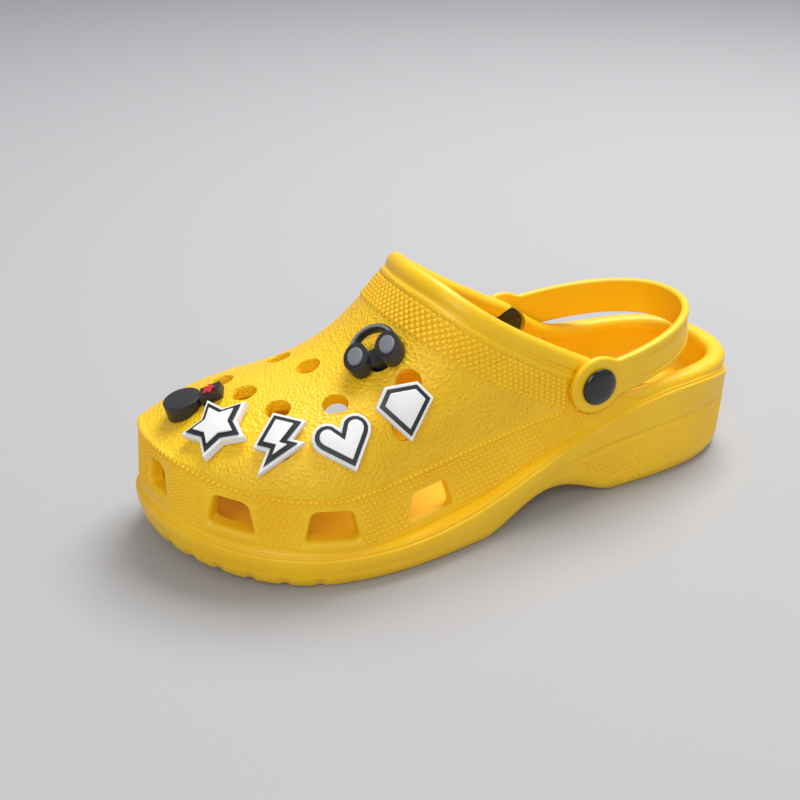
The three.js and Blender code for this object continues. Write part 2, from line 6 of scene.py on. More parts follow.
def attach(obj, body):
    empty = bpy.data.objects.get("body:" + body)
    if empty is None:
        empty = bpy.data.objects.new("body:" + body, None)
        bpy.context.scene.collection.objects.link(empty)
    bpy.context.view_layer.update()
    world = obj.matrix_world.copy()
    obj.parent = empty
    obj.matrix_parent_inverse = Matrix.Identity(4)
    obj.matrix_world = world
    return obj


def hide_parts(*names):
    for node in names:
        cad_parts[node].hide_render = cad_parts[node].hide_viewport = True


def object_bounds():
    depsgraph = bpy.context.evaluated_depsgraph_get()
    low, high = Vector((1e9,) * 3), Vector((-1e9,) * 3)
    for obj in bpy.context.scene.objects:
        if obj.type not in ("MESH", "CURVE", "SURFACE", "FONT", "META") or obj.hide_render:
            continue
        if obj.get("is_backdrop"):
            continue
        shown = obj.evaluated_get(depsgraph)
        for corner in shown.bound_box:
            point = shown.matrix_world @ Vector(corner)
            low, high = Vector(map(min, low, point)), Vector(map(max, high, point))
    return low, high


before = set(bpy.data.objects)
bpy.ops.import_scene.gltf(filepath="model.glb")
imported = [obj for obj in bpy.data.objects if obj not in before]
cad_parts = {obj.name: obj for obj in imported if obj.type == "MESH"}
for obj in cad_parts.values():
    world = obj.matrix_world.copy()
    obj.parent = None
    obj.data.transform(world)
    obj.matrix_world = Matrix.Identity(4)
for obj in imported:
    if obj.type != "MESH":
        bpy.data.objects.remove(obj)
cad_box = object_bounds()

# ---------------------------------------------------------------- studio
# A pale grey sweep that runs on under and behind the clog, one broad softbox above it and a
# weaker one in front, and a camera with a short telephoto lens.

MM = 0.001
CAMERA = {"aim": (22.95, -10.28, 42.55), "distance": 528.7, "azimuth": 27.01, "elevation": 27.28,
          "roll": 0.375, "lens": 54.04}
SWEEP_SIZE = 12.0
SWEEP_GREY = 0.44
SKY_STRENGTH = 0.42
SOFTBOXES = (  # name, place in metres, size, power
    ("key_softbox", (-0.55, -0.35, 1.35), 0.9, 24),
    ("front_softbox", (0.9, 1.3, 1.1), 1.0, 13),
)


def camera_axes(azimuth, elevation, roll):
    """Right, up and back of a camera: back points from the aim to it by azimuth from +Y towards
    +X and by elevation, and right and up are then turned by the roll."""
    azimuth, elevation, roll = np.radians((azimuth, elevation, roll))
    back = np.array((np.sin(azimuth) * np.cos(elevation), np.cos(azimuth) * np.cos(elevation),
                     np.sin(elevation)))
    right = np.cross(-back, (0, 0, 1))
    right /= np.linalg.norm(right)
    up = np.cross(back, right)
    return (np.cos(roll) * right + np.sin(roll) * up, np.cos(roll) * up - np.sin(roll) * right, back)


right, up, back = camera_axes(CAMERA["azimuth"], CAMERA["elevation"], CAMERA["roll"])
camera = bpy.data.objects.new("camera", bpy.data.cameras.new("camera"))
bpy.context.collection.objects.link(camera)
camera.data.lens = CAMERA["lens"]
camera.data.sensor_width = 36
camera_place = (np.array(CAMERA["aim"]) + back * CAMERA["distance"]) * MM
camera.matrix_world = Matrix([(*row, place) for row, place in
                              zip(np.transpose((right, up, back)), camera_place)] + [(0, 0, 0, 1)])
bpy.context.scene.camera = camera
bpy.context.scene.view_settings.view_transform = "Standard"


class Socket:
    """A shader socket that Python's operators work on: each adds a Math node."""

    def __init__(self, paint, socket):
        self.paint, self.socket = paint, socket

    def maths(self, operation, *others):
        return self.paint.add("ShaderNodeMath", {"operation": operation}, (self, *others))

    def __add__(self, other):
        return self.maths("ADD", other)

    def __mul__(self, other):
        return self.maths("MULTIPLY", other)

    def __sub__(self, other):
        return self.maths("SUBTRACT", other)

    def __rsub__(self, other):
        return self.paint.add("ShaderNodeMath", {"operation": "SUBTRACT"}, (other, self))

    __radd__ = __add__
    __rmul__ = __mul__

    def between(self, low, high):
        """0 below low, 1 above high, and an even slope between them."""
        return self.paint.add("ShaderNodeMapRange", {"clamp": True},
                              {"Value": self, "From Min": low, "From Max": high})


class Paint:
    """A material and the one way its nodes are added."""

    def __init__(self, name):
        self.material = bpy.data.materials.new(name)
        self.material.use_nodes = True
        self.tree = self.material.node_tree
        self.tree.nodes.clear()

    def add(self, kind, settings=None, inputs=(), output=0):
        node = self.tree.nodes.new(kind)
        for key, value in (settings or {}).items():
            if key == "stops":
                while len(node.color_ramp.elements) < len(value):
                    node.color_ramp.elements.new(0.5)
                for stop, (position, colour) in zip(node.color_ramp.elements, value):
                    stop.position, stop.color = position, (*colour, 1)
            else:
                setattr(node, key, value)
        pairs = inputs.items() if isinstance(inputs, dict) else enumerate(inputs)
        for key, value in pairs:
            if isinstance(value, Socket):
                self.tree.links.new(value.socket, node.inputs[key])
            else:
                node.inputs[key].default_value = value
        return Socket(self, node.outputs[output]) if node.outputs else None

    def place(self):
        return self.add("ShaderNodeTexCoord", output="Object")

    def noise(self, scale, detail=3, roughness=0.55):
        return self.add("ShaderNodeTexNoise", None, {
            "Vector": self.place(), "Scale": scale, "Detail": detail, "Roughness": roughness})

    def cells(self, scale, feature="F1"):
        return self.add("ShaderNodeTexVoronoi", {"feature": feature},
                        {"Vector": self.place(), "Scale": scale})

    def mask(self, name):
        return self.add("ShaderNodeAttribute", {"attribute_name": name}, output="Fac")

    def blend(self, share, first, second):
        """A colour between two colours."""
        return self.add("ShaderNodeMix", {"data_type": "RGBA"},
                        {"Factor": share, 6: first, 7: second}, output=2)

    def bump(self, height, depth):
        return self.add("ShaderNodeBump", None, {"Height": height, "Distance": depth})

    def finish(self, inputs):
        shader = self.add("ShaderNodeBsdfPrincipled", None, inputs)
        self.add("ShaderNodeOutputMaterial", None, {"Surface": shader})
        return self.material


def make_sweep():
    paint = Paint("sweep_paper")
    grey = (SWEEP_GREY, SWEEP_GREY, SWEEP_GREY * 1.015, 1)
    paint.finish({"Base Color": grey, "Roughness": 0.95,
                  "Specular IOR Level": 0.1,
                  "Normal": paint.bump(paint.noise(900), 0.00005)})
    half = SWEEP_SIZE / 2
    mesh = bpy.data.meshes.new("sweep")
    mesh.from_pydata([(-half, -half, 0), (half, -half, 0), (half, half, 0), (-half, half, 0)], [],
                     [(0, 1, 2, 3)])
    mesh.materials.append(paint.material)
    sweep = bpy.data.objects.new("sweep", mesh)
    bpy.context.collection.objects.link(sweep)
    sweep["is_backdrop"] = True


make_sweep()
world = bpy.data.worlds.new("studio")
world.use_nodes = True
world.node_tree.nodes["Background"].inputs["Color"].default_value = (0.93, 0.95, 1, 1)
world.node_tree.nodes["Background"].inputs["Strength"].default_value = SKY_STRENGTH
bpy.context.scene.world = world
for name, place, size, power in SOFTBOXES:
    lamp = bpy.data.objects.new(name, bpy.data.lights.new(name, "AREA"))
    lamp.data.size, lamp.data.energy = size, power
    lamp.location = place
    aim = Vector((0.02, 0, 0.03)) - Vector(place)
    lamp.rotation_euler = aim.to_track_quat("-Z", "Y").to_euler()
    bpy.context.collection.objects.link(lamp)

# ---------------------------------------------------------------- clog body
# One moulding of foamed EVA: sole, side wall, vamp, collar and heel cup. Its outline is a closed
# B-spline, its heights are tables along the clog, and every section across is a superellipse.

OUTLINE = np.array([
    (-142.8, -0.8), (-135.8, -30.8), (-99.8, -43.3), (-47.8, -39.8), (0.2, -43.3), (50.2, -54.8),
    (96.2, -57.8), (134.2, -45.8), (144.2, -13.8), (131.2, 25.2), (93.2, 53.2), (48.2, 58.2),
    (0.2, 48.7), (-47.8, 39.7), (-99.8, 41.2), (-135.8, 27.2)])
LEDGE_Z = (31.7, 46.6, 46.7, 36.3, 21.8, 15.3, 15, 18.6, 30)
WALL_TOP_Z = (54, 51, 50, 48, 45.7, 41.2, 38.2, 42.7, 60.7)
WALL_INSET = (2.5, 2.5, 3.8, 0.8, 3.6, 4.4, 4.2, 4.2, 4.2)
CREST_Z = (100, 100, 100, 112, 150, 82, 67.5, 67, 21)
FOOTBED_Z = (29, 28, 27, 25, 21, 17.5, 16.5, 18, 28)
TOE_PIVOT_X = 85
FULLNESS = 2 / 2.2
WALL_THICKNESS = (7, 7, 7, 7.2, 6.4, 4.6, 4.6, 4.6, 4.6)
VAMP_THICKNESS = 5
SIDE_WALL = 4  # kept where the sides are held flat for the strap
RIM = np.array([(-160, 49), (-95, 49), (-80, 49.5), (-71, 50.6), (-64, 53.4), (-56, 59),
                (-46, 67.5), (-36, 72.5), (-24, 79), (-12, 86), (-1, 93), (14, 103.5), (24, 112)])
PIVOT = np.array((-45, 0, 57.5))
COLUMNS = 440


def spline_weights(f):
    """The four weights of a uniform cubic B-spline at a share f of its span."""
    return np.array([(1 - f)**3, 3 * f**3 - 6 * f**2 + 4, -3 * f**3 + 3 * f**2 + 3 * f + 1, f**3]) / 6


def along(x, table):
    """Height or inset at x from B-spline values that stand every 40 mm from x = -160."""
    table = np.asarray(table, float)
    t = (np.asarray(x, float) + 160) / 40
    i = np.floor(t).astype(int)
    index = np.clip(i + np.arange(4).reshape((4,) + (1,) * i.ndim) - 1, 0, len(table) - 1)
    return (spline_weights(t - i) * table[index]).sum(0)


def outline_ring(count):
    """Points round the outline and their outward directions: a closed B-spline, and its tangent
    turned a quarter turn."""
    t = np.arange(count) / count * len(OUTLINE)
    i = np.floor(t).astype(int)
    weights = spline_weights(t - i)
    points = sum(w[:, None] * OUTLINE[(i + k - 1) % len(OUTLINE)] for k, w in enumerate(weights))
    tangent = np.roll(points, -1, 0) - np.roll(points, 1, 0)
    tangent /= np.linalg.norm(tangent, axis=1)[:, None]
    return points, np.c_[tangent[:, 1], -tangent[:, 0]]


def ground_z(x):
    """Height of the sole's underside: a parabola up to the toe and a raised sine over the arch."""
    share = np.clip((x + 61) / 72, 0, 1)
    return 8 * (np.maximum(x - 80, 0) / 60)**2 + 11.5 * np.sin(np.pi * share)**1.5


def ring_at(points, out, inset, z):
    """A ring of points moved inward by an inset, at heights."""
    inset = np.broadcast_to(inset, len(points))
    return np.c_[points - out * inset[:, None], np.broadcast_to(z, len(points))]


def towards_spine(ring, share, height_at):
    """A ring drawn in to a share of its distance from the middle line, which at the toe is a
    point, with its height from height_at(x)."""
    x = np.minimum(ring[:, 0], TOE_PIVOT_X) * (1 - share) + ring[:, 0] * share
    return np.c_[x, ring[:, 1] * share, height_at(x)]


def flattened(ring, inset=0):
    """Beside the rivets the wall is held within a flat limit that opens out below and along."""
    limit = (37.6 - inset + 0.15 * np.maximum(0, 50 - ring[:, 2])
             + 0.12 * np.maximum(0, np.maximum(ring[:, 0] + 16, -66 - ring[:, 0])))
    return np.c_[ring[:, 0], np.clip(ring[:, 1], -limit, limit), ring[:, 2]]


def dome(edge, crest, angles):
    """Rings from an edge ring up to the crest: each section is a superellipse of the angle."""
    rings = []
    for angle in np.radians(angles):
        share, rise = np.sin(angle)**FULLNESS, np.cos(angle)**FULLNESS
        rings.append(towards_spine(edge, share, lambda x: edge[:, 2] + (crest(x) - edge[:, 2]) * rise))
    return rings


def closed_faces(rows, columns):
    """Faces of a closed skin through rings, laced across its middle line at both ends."""
    r, s = np.meshgrid(np.arange(rows - 1), np.arange(columns), indexing="ij")
    a, b = r * columns + s, r * columns + (s + 1) % columns
    sides = np.stack([a, b, b + columns, a + columns], -1).reshape(-1, 4)
    s = np.arange(1, columns // 2 - 1)
    lace = np.stack([s, columns - s, columns - s - 1, s + 1], -1)
    ends = [(0, columns - 1, 1), (columns // 2 - 1, columns // 2 + 1, columns // 2)]
    top = (rows - 1) * columns
    faces = sides.tolist() + lace.tolist() + (lace[:, ::-1] + top).tolist()
    return faces + ends + [tuple(top + k for k in end[::-1]) for end in ends]


def make_piece(name, points, faces, material=None, smooth=40):
    """A mesh object from points in millimetres, its faces turned outwards as one."""
    mesh = bpy.data.meshes.new(name)
    mesh.from_pydata((np.asarray(points) * MM).tolist(), [], [tuple(f) for f in faces])
    mesh.validate()
    mesh.update()
    corners = np.zeros(len(mesh.vertices) * 3)
    mesh.vertices.foreach_get("co", corners)
    corners = corners.reshape(-1, 3)
    mesh.calc_loop_triangles()
    triangles = np.zeros(len(mesh.loop_triangles) * 3, int)
    mesh.loop_triangles.foreach_get("vertices", triangles)
    a, b, c = corners[triangles.reshape(-1, 3)].transpose(1, 0, 2)
    if (a * np.cross(b, c)).sum() < 0:
        mesh.flip_normals()
    mesh.shade_smooth()
    mesh.set_sharp_from_angle(angle=np.radians(smooth))
    if material:
        mesh.materials.append(material)
    piece = bpy.data.objects.new(name, mesh)
    bpy.context.collection.objects.link(piece)
    return piece


def worked(piece, tool, operation):
    """The piece after a solid tool has been cut from it or joined to it."""
    step = piece.modifiers.new("work", "BOOLEAN")
    step.operation, step.object, step.solver = operation, tool, "MANIFOLD"
    mesh = bpy.data.meshes.new_from_object(
        piece.evaluated_get(bpy.context.evaluated_depsgraph_get()))
    piece.modifiers.clear()
    old, piece.data = piece.data, mesh
    bpy.data.meshes.remove(old)
    bpy.data.objects.remove(tool)
    print(piece.name, operation, len(mesh.polygons))
    return piece


outline, outward = outline_ring(COLUMNS)
ledge, wall_top = along(outline[:, 0], LEDGE_Z), along(outline[:, 0], WALL_TOP_Z)
wall_inset = along(outline[:, 0], WALL_INSET)


def crest_z(x):
    return along(x, CREST_Z)


def rim_z(x):
    """Side-view height of the rim, its corners rounded by averaging over 5 mm."""
    offsets = np.linspace(-5, 5, 11)
    return np.mean([np.interp(x + d, *RIM.T) for d in offsets], 0)


CREASE_Z = (31, 29.6, 28.2, 24, 19, 15, 15, 15, 15)


VENTS = (  # middle of the bottom edge, its height, widths at the bottom and the top
    (139, -1.8, 31.9, 13.4, 11), (119, 32, 26.3, 19.2, 16), (82.6, 52, 21.6, 21.4, 18),
    (37.8, 55, 21.3, 22.4, 18.6), (124, -41, 26.6, 19.2, 16), (86, -57, 21.6, 21.4, 18),
    (42, -55, 21.3, 22.4, 18.6))
VENT_HEIGHT, VENT_CORNER = 12.4, 3.6
fine_outline, fine_outward = outline_ring(8000)
girth = np.r_[0, np.cumsum(np.linalg.norm(np.diff(fine_outline, axis=0), axis=1))]


def girth_at(x, y):
    """Distance round the outline of the point nearest to (x, y)."""
    return girth[np.argmin(np.hypot(fine_outline[:, 0] - x, fine_outline[:, 1] - y))]


def ledge_rise(distance, middle):
    """How much higher the ledge is at a distance round the outline than at a vent's middle."""
    x = np.interp(distance, girth, fine_outline[:, 0])
    return along(x, LEDGE_Z) - along(np.interp(middle, girth, fine_outline[:, 0]), LEDGE_Z)


def notches(x):
    """Short steps round the toe's lower edge, where the tread's bars run out: a row of rounded
    pulses along the outline."""
    distance = np.arange(COLUMNS) / COLUMNS * girth[-1]
    pulse = np.clip(np.sin(distance * 2 * np.pi / 13.5) * 4 - 2.2, 0, 1)
    return 0.8 * pulse * np.clip((x - 70) / 20, 0, 1)


def sills(z):
    """A smooth swelling of the wall under each vent, a soft-edged patch in distance and height."""
    distance = girth_of_columns
    swelling = 0
    for x, y, bottom, width, _ in VENTS:
        middle = girth_at(x, y)
        across = np.exp(-((distance - middle) / (width / 2 + 1.5))**6)
        up = (z - bottom - ledge_rise(distance, middle) + 2.1) / 1.9
        swelling = swelling + 0.9 * across * np.exp(-up**2)
    return swelling


girth_of_columns = np.array([girth_at(*p) for p in outline])


def outside_rings():
    """The outside from the sole's middle to the vamp's crest: rand, ledge lines, wall, dome."""
    x = outline[:, 0]
    ground = ground_z(x)
    sole_edge = ring_at(outline, outward, 6, ground)
    rings = []
    for share in np.linspace(0.04, 0.97, 30):
        inner = towards_spine(sole_edge, share, ground_z)
        edge = np.clip((1 - share) / 0.12, 0, 1) * np.clip((share - 0.1) / 0.1, 0, 1)
        wave = np.sin((inner[:, 0] + 3 * np.sin(inner[:, 1] / 5)) * 2 * np.pi / 9)
        tread = np.clip(wave * 3 + 0.6, 0, 1) * edge
        contact = np.clip(1 - (ground_z(inner[:, 0]) - 0) / 3, 0, 1)
        inner[:, 2] += 1.4 * tread * contact
        rings.append(inner)
    notch = notches(x)
    for inset, rise in ((6, 0), (4.6, 0.3), (3.5, 0.9), (2.7, 1.9), (2.1, 3.0), (1.6, 4.2),
                        (1.2, 5.4), (1.0, 6.6), (0.9, 7.8)):
        depth = notch * np.clip((6 - rise) / 2.5, 0, 1)
        rings.append(ring_at(outline, outward, inset + depth, ground + rise + 0.5 * depth))
    low, high = ground + 7.8, ledge - 2.6
    crease = along(x, CREASE_Z)
    fade = np.clip((-28 - x) / 25, 0, 1)
    for share in np.linspace(0.06, 1, 26):
        z = low + (high - low) * share
        inset = 0.9 * (1 - share)**2
        line = 0.8 * fade * np.exp(-((z - crease) / 0.8)**2)
        below = 0.35 * fade * (1 / (1 + np.exp((z - crease) * 2)))
        rings.append(ring_at(outline, outward, inset + line + below, z))
    wall_foot = np.minimum(2.2, wall_inset)
    for inset, rise in ((0.05, -2.1), (0.15, -1.7), (0.35, -1.42), (0.7, -1.25), (0.95, -1.3),
                        (1.05, -1.05), (1.05, -0.55), (1.12, -0.25), (1.3, -0.1), (1.62, -0.1),
                        (1.85, 0.1), (2.0, 0.35)):
        rings.append(ring_at(outline, outward, np.minimum(inset, wall_foot + 0.1), ledge + rise))
    for share in np.linspace(0, 0.95, 22):
        z = (ledge + 0.6) * (1 - share) + wall_top * share
        inset = wall_foot * (1 - share) + wall_inset * share
        rings.append(flattened(ring_at(outline, outward, inset - sills(z), z)))
    top = flattened(ring_at(outline, outward, wall_inset, wall_top))
    rings.append(top)
    angles = np.r_[88, 84.5, 81, np.linspace(78, 4, 32), 1.5]
    rings += [flattened(r) for r in dome(top, crest_z, angles)]
    return np.array(rings), top


rings, wall_top_ring = outside_rings()
clog_body = make_piece("clog_body", rings.reshape(-1, 3), closed_faces(*rings.shape[:2]))


def foot_space_rings():
    """The room for the foot: flat footbed, rounded floor edge, wall and the dome inside."""
    x = outline[:, 0]
    inner = np.maximum(wall_inset, 2.2) + along(x, WALL_THICKNESS)
    footbed = along(x, FOOTBED_Z)
    top_z = np.maximum(wall_top - 2, footbed + 9)
    edge = ring_at(outline, outward, inner + 4.4, footbed)
    rings = [towards_spine(edge, share, lambda u: along(u, FOOTBED_Z))
             for share in np.linspace(0.04, 0.97, 14)]
    for more, rise in ((4.4, 0), (3.2, 0.45), (2.1, 1.3), (1.2, 2.5), (0.5, 4.6), (0, 8)):
        rings.append(ring_at(outline, outward, inner + more, footbed + rise))
    top = ring_at(outline, outward, inner, top_z)
    rings.append(top)
    rings += dome(top, lambda u: crest_z(u + 3) - VAMP_THICKNESS, np.r_[np.linspace(84, 4, 22), 1.5])
    return np.array([flattened(ring, SIDE_WALL) for ring in rings])


rings = foot_space_rings()
foot_space = make_piece("foot_space", rings.reshape(-1, 3), closed_faces(*rings.shape[:2]))
worked(clog_body, foot_space, "DIFFERENCE")


def opening_prism():
    """A side-view outline above the rim, lowered so that the cut ends inside the rim's bead, and
    carried right across the clog."""
    x = np.linspace(-160, 34, 120)
    side = np.r_[np.c_[x, rim_z(x) - 3.2], [(34, 260), (-160, 260)]]
    count = len(side)
    points = np.r_[np.c_[side[:, 0], np.full(count, -95), side[:, 1]],
                   np.c_[side[:, 0], np.full(count, 95), side[:, 1]]]
    s = np.arange(count)
    t = (s + 1) % count
    faces = np.stack([s, t, t + count, s + count], -1).tolist()
    return make_piece("opening", points, faces + [tuple(s[::-1]), tuple(s + count)])


worked(clog_body, opening_prism(), "DIFFERENCE")

fine_top = flattened(ring_at(fine_outline, fine_outward, along(fine_outline[:, 0], WALL_INSET),
                             along(fine_outline[:, 0], WALL_TOP_Z)))


def wall_width(x, y):
    """How far the wall's top stands from the middle line at x, on the side that y is on."""
    sides = []
    for side in (fine_top[:, 1] < 0, fine_top[:, 1] >= 0):
        order = np.argsort(fine_top[side, 0])
        sides.append(np.interp(x, fine_top[side, 0][order], np.abs(fine_top[side, 1][order])))
    return np.where(y < 0, *sides)


def beyond(points):
    """How far points lie outside the clog's section at their x: a superellipse above the wall's
    top and a straight wall below it, held within the flat limit beside the rivets."""
    x, y, z = points.T
    edge = along(x, WALL_TOP_Z)
    rise = np.maximum(z - edge, 0) / (crest_z(x) - edge)
    limit = (37.6 + 0.15 * np.maximum(0, 50 - z)
             + 0.12 * np.maximum(0, np.maximum(x + 16, -66 - x)))
    section = ((np.abs(y) / wall_width(x, y))**2.2 + rise**2.2)**(1 / 2.2) - 1
    return np.maximum(section, np.abs(y) / limit - 1)


def slope(points):
    """The steepest way out of the clog at points, by small steps each way along each axis."""
    step = 0.05 * np.eye(3)
    rise = np.stack([beyond(points + d) - beyond(points - d) for d in step], -1) / 0.1
    return rise, rise / np.linalg.norm(rise, axis=1)[:, None]


def onto_outside(points):
    """Points moved square to the outside until they lie on it."""
    for _ in range(4):
        rise, out = slope(points)
        points = points - out * (beyond(points) / np.linalg.norm(rise, axis=1))[:, None]
    return points


def smoothed(values, reach):
    """A closed run of values averaged with a bell of neighbours."""
    offsets = np.arange(-3 * reach, 3 * reach + 1)
    bell = np.exp(-(offsets / reach)**2 / 2)
    return sum(w * np.roll(values, k, 0) for k, w in zip(offsets, bell)) / bell.sum()


def evenly(points, count, *others):
    """A closed run of points taken again at even distances, with what belongs to them."""
    closed = np.r_[points, points[:1]]
    length = np.r_[0, np.cumsum(np.linalg.norm(np.diff(closed, axis=0), axis=1))]
    at = np.linspace(0, length[-1], count, endpoint=False)
    return [np.stack([np.interp(at, length, column) for column in np.r_[v, v[:1]].T], -1)
            for v in (points, *others)]


def rim_loop(count):
    """The rim's top line on the outside, and the ways out of the surface and up to the rim: the
    section's superellipse is solved for its width at the rim's height."""
    x = fine_top[:, 0]
    height, edge, crest = rim_z(x), fine_top[:, 2], crest_z(x)
    share = np.clip((height - edge) / np.maximum(crest - edge, 1), 0, 1)
    kept = (x < 40) & (height < crest)
    narrow = (1 - share**2.2)**(1 / 2.2)
    line = np.c_[x, fine_top[:, 1] * narrow, height][kept]
    out = slope(line)[1]
    plain = (share[kept] == 0)[:, None]
    out = np.where(plain, np.c_[fine_outward[kept], np.zeros(kept.sum())], out)
    line, out = evenly(line, count, out)
    line, out = smoothed(line, 2), smoothed(out, 3)
    tangent = np.roll(line, -1, 0) - np.roll(line, 1, 0)
    tangent /= np.linalg.norm(tangent, axis=1)[:, None]
    out -= tangent * (out * tangent).sum(1)[:, None]
    out /= np.linalg.norm(out, axis=1)[:, None]
    raised = np.cross(tangent, out)
    return line, out, tangent, raised * np.sign(raised[:, 2].mean())


def swept(name, line, out, up, section, closed=True, material=None):
    """A section of (out, up) points carried along a line; an open run is closed by its end
    sections."""
    section = np.asarray(section)
    if section.ndim == 2:
        section = np.broadcast_to(section, (len(line), *section.shape))
    points = (line[:, None] + out[:, None] * section[..., :1] + up[:, None] * section[..., 1:])
    rows, columns = points.shape[:2]
    r, s = np.meshgrid(np.arange(rows if closed else rows - 1), np.arange(columns), indexing="ij")
    nxt, t = (r + 1) % rows, (s + 1) % columns
    faces = np.stack([r * columns + s, r * columns + t, nxt * columns + t, nxt * columns + s], -1)
    faces = faces.reshape(-1, 4).tolist()
    if not closed:
        faces += [tuple(range(columns))[::-1], tuple(range((rows - 1) * columns, rows * columns))]
    return make_piece(name, points.reshape(-1, 3), faces, material)


def oval(across, high, count, power=0.8):
    """A superellipse section."""
    angle = np.arange(count) / count * 2 * np.pi
    return np.c_[across * np.sign(np.cos(angle)) * np.abs(np.cos(angle))**power,
                 high * np.sign(np.sin(angle)) * np.abs(np.sin(angle))**power]


rim_line, rim_out, rim_tangent, rim_up = rim_loop(460)
bead = swept("rim_bead", rim_line, rim_out, rim_up, oval(4.4, 4.1, 28) + (-3.2, -4.0))
worked(clog_body, bead, "UNION")

# the outside just under the rim, walked down from it in 1 mm steps square to the rim
band = [onto_outside(rim_line - 2 * rim_up)]
for _ in range(27):
    out = slope(band[-1])[1]
    down = np.cross(rim_tangent, out)
    down *= -np.sign((down * rim_up).sum(1))[:, None]
    down /= np.linalg.norm(down, axis=1)[:, None]
    band.append(onto_outside(band[-1] + down))
band = np.array(band)  # band[k] lies k + 2 mm below the rim's top line
collar = rim_line[:, 0] > -64
first = np.argmax(collar)
run = slice(first, first + collar.sum())


def below_rim(distance):
    """The line on the outside at a distance below the rim, over the collar."""
    k = distance - 2
    low = int(np.floor(k))
    return band[low, run] * (1 - k + low) + band[low + 1, run] * (k - low)


lip_line = below_rim(10.1)
taper = np.clip(np.minimum(np.arange(len(lip_line)), np.arange(len(lip_line))[::-1]) / 14, 0.08, 1)
lip = oval(1.0, 1.75, 14, 1)[None] * taper[:, None, None]
lip_out = slope(lip_line)[1]
second_bead = swept("second_bead", lip_line - 0.25 * lip_out, lip_out,
                    np.cross(rim_tangent[run], lip_out), lip, closed=False)
worked(clog_body, second_bead, "UNION")

def on_wall(distance, z, depth):
    """Points on the side wall at a distance round the outline and a height, moved in by a depth:
    the wall slopes evenly in from the ledge to its top."""
    place = np.stack([np.interp(distance, girth, column) for column in fine_outline.T], -1)
    out = np.stack([np.interp(distance, girth, column) for column in fine_outward.T], -1)
    low, high = along(place[..., 0], LEDGE_Z) + 0.6, along(place[..., 0], WALL_TOP_Z)
    share = np.clip((z - low) / (high - low), 0, 1)
    top_inset = along(place[..., 0], WALL_INSET)
    inset = np.minimum(2.2, top_inset) * (1 - share) + top_inset * share + depth
    return np.concatenate([place - out * inset[..., None], z[..., None]], -1), out


def vent_outline(width, top, grow):
    """A trapezoid with rounded corners in (distance, height), grown outwards on all sides: its
    corners are arcs, with straight sides between them."""
    corners = [(-width / 2, 0, 225, 1.4), (width / 2, 0, 315, 1.4),
               (top / 2, VENT_HEIGHT, 45, VENT_CORNER), (-top / 2, VENT_HEIGHT, 135, VENT_CORNER)]
    points = []
    for u, v, middle, radius in corners:
        angle = np.radians(middle + np.linspace(-45, 45, 7))
        centre = (u - np.sign(np.cos(np.radians(middle))) * radius,
                  v - np.sign(np.sin(np.radians(middle))) * radius)
        points.append(np.c_[centre[0] + (radius + grow) * np.cos(angle),
                            centre[1] + (radius + grow) * np.sin(angle)])
    points = np.concatenate(points)
    closed = np.r_[points, points[:1]]
    length = np.r_[0, np.cumsum(np.linalg.norm(np.diff(closed, axis=0), axis=1))]
    at = np.linspace(0, length[-1], 64, endpoint=False)
    return np.c_[np.interp(at, length, closed[:, 0]), np.interp(at, length, closed[:, 1])]


EDGE_ROUNDING = [(-3.0, 2.6), (-0.6, 1.75), (-0.1, 1.15), (0.3, 0.66), (0.8, 0.28), (1.5, 0.06),
                 (2.2, 0.0)]  # depth below a surface and how far a cut is wider there


def tubes(name, rings):
    """Closed tubes from one array of rings for each, with a face over each end."""
    points, faces = [], []
    for tube in rings:
        start = len(points) and sum(len(p) for p in points)
        rows, columns = tube.shape[:2]
        r, s = np.meshgrid(np.arange(rows - 1), np.arange(columns), indexing="ij")
        a, b = r * columns + s, r * columns + (s + 1) % columns
        faces += (np.stack([a, b, b + columns, a + columns], -1).reshape(-1, 4) + start).tolist()
        ends = np.arange(columns)
        faces += [tuple(ends[::-1] + start), tuple(ends + (rows - 1) * columns + start)]
        points.append(tube.reshape(-1, 3))
    return make_piece(name, np.concatenate(points), faces)


def vent_tubes():
    made = []
    for x, y, bottom, width, top in VENTS:
        middle = girth_at(x, y)
        rows = []
        for depth, grow in EDGE_ROUNDING + [(5, 0.0), (16, 0.0)]:
            shape = vent_outline(width, top, grow)
            distance = middle + shape[:, 0]
            rows.append(on_wall(distance, bottom + shape[:, 1] + ledge_rise(distance, middle),
                                np.full(len(shape), float(depth)))[0])
        made.append(np.array(rows))
    return made


worked(clog_body, tubes("vents", vent_tubes()), "DIFFERENCE")

HOLE_RADIUS = 4.9
HOLES = np.array([
    (112.7, 11.7), (96.2, 32.8), (73.2, 42.2), (47.8, 42.6), (48.1, 20.4), (116.7, -12.9),
    (97.3, -2.1), (90.3, 16.6), (69.4, -2.3), (70, 26.2), (42, 34), (74, -23), (100.7, -20.5),
    (88, -41), (58, -39), (40, -34)])


def vamp_surface():
    """The clog's bare outer form as a tree to shoot at, from the dome's rings alone."""
    from mathutils.bvhtree import BVHTree
    rings, _ = outside_rings()
    return BVHTree.FromPolygons(rings.reshape(-1, 3).tolist(), closed_faces(*rings.shape[:2]))


vamp = vamp_surface()


def vamp_place(x, y):
    """The point on the vamp over (x, y) and the way out of it, averaged over 6 mm round it."""
    point = np.array(vamp.ray_cast(Vector((x, y, 400)), Vector((0, 0, -1)))[0])
    out = Vector((0, 0, 1))
    for reach in (1.5, 6, 6):
        turn = Vector((0, 0, 1)).rotation_difference(out)
        met = [np.array(vamp.ray_cast(turn @ Vector((u, v, 60)) + Vector(point), -out)[0])
               for u, v in ((reach, 0), (-reach, 0), (0, reach), (0, -reach))]
        out = Vector(np.cross(met[0] - met[1], met[2] - met[3])).normalized()
    out = np.array(out)
    return point, out


